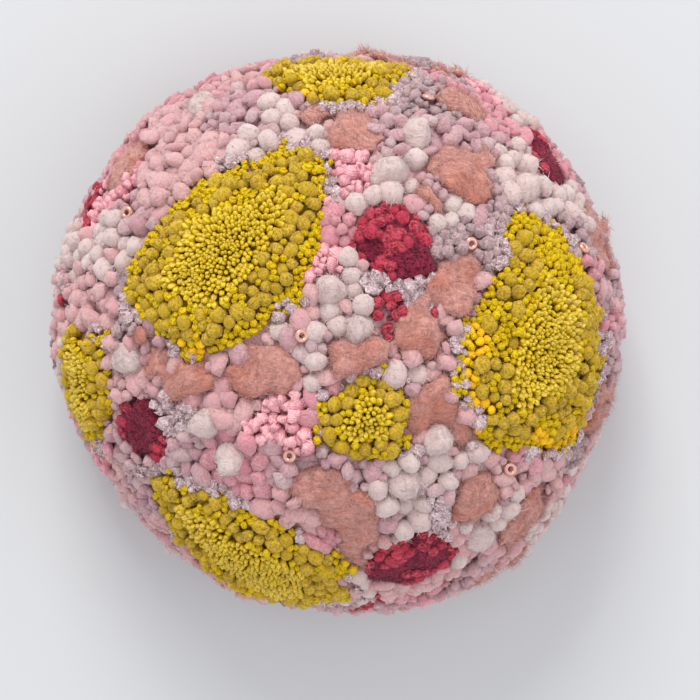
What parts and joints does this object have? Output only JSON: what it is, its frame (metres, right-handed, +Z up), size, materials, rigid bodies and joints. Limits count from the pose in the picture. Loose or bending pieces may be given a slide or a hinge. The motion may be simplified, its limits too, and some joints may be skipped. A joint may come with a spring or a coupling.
{
  "type": "domed fibre art wall piece",
  "caption": "Round filled dome worked all over in dense yarn pile, with patches of other yarns, and a flat back that goes on a wall.",
  "frame": {"origin": "centre of the flat back, on the wall plane", "axes": "+Z up, -Y out of the wall towards the viewer, +X to the viewer's right"},
  "size_m": [0.1986, 0.0986, 0.1937],
  "materials": {
    "blush_pile": "matte wool knots, fuzzy",
    "mustard_pile": "fine glossy loops and matte wool knots",
    "crimson_pile": "velvety cut pile and wool knots",
    "rust_roving": "soft matte roving",
    "cream_roving": "soft matte roving",
    "backing_cloth": "plain woven cotton",
    "metallic_yarn": "glittering metallic yarn",
    "beads": "lustred, opaque"
  },
  "bodies": {
    "root": {"pile_ground": "blush_pile", "bloom_main": "mustard_pile", "bloom_east": "mustard_pile", "bloom_south": "mustard_pile", "bloom_heart": "mustard_pile", "bloom_north": "mustard_pile", "bloom_west": "mustard_pile", "crimson_upper": "crimson_pile", "crimson_lower": "crimson_pile", "crimson_side": "crimson_pile", "crimson_shoulder": "crimson_pile", "rust_pad_1": "rust_roving", "rust_pad_2": "rust_roving", "rust_pad_3": "rust_roving", "rust_pad_4": "rust_roving", "rust_pad_5": "rust_roving", "rust_pad_6": "rust_roving", "rust_pad_7": "rust_roving", "rust_pad_8": "rust_roving", "rust_pad_9": "rust_roving", "rust_pad_10": "rust_roving", "cream_puff_1": "cream_roving", "cream_puff_2": "cream_roving", "cream_puff_3": "cream_roving", "cream_puff_4": "cream_roving", "cream_puff_5": "cream_roving", "cream_puff_6": "cream_roving", "cream_puff_7": "cream_roving", "cream_puff_8": "cream_roving", "cream_puff_9": "cream_roving", "cream_puff_10": "cream_roving", "cream_puff_11": "cream_roving", "cream_puff_12": "cream_roving"}
  },
  "joints": []
}
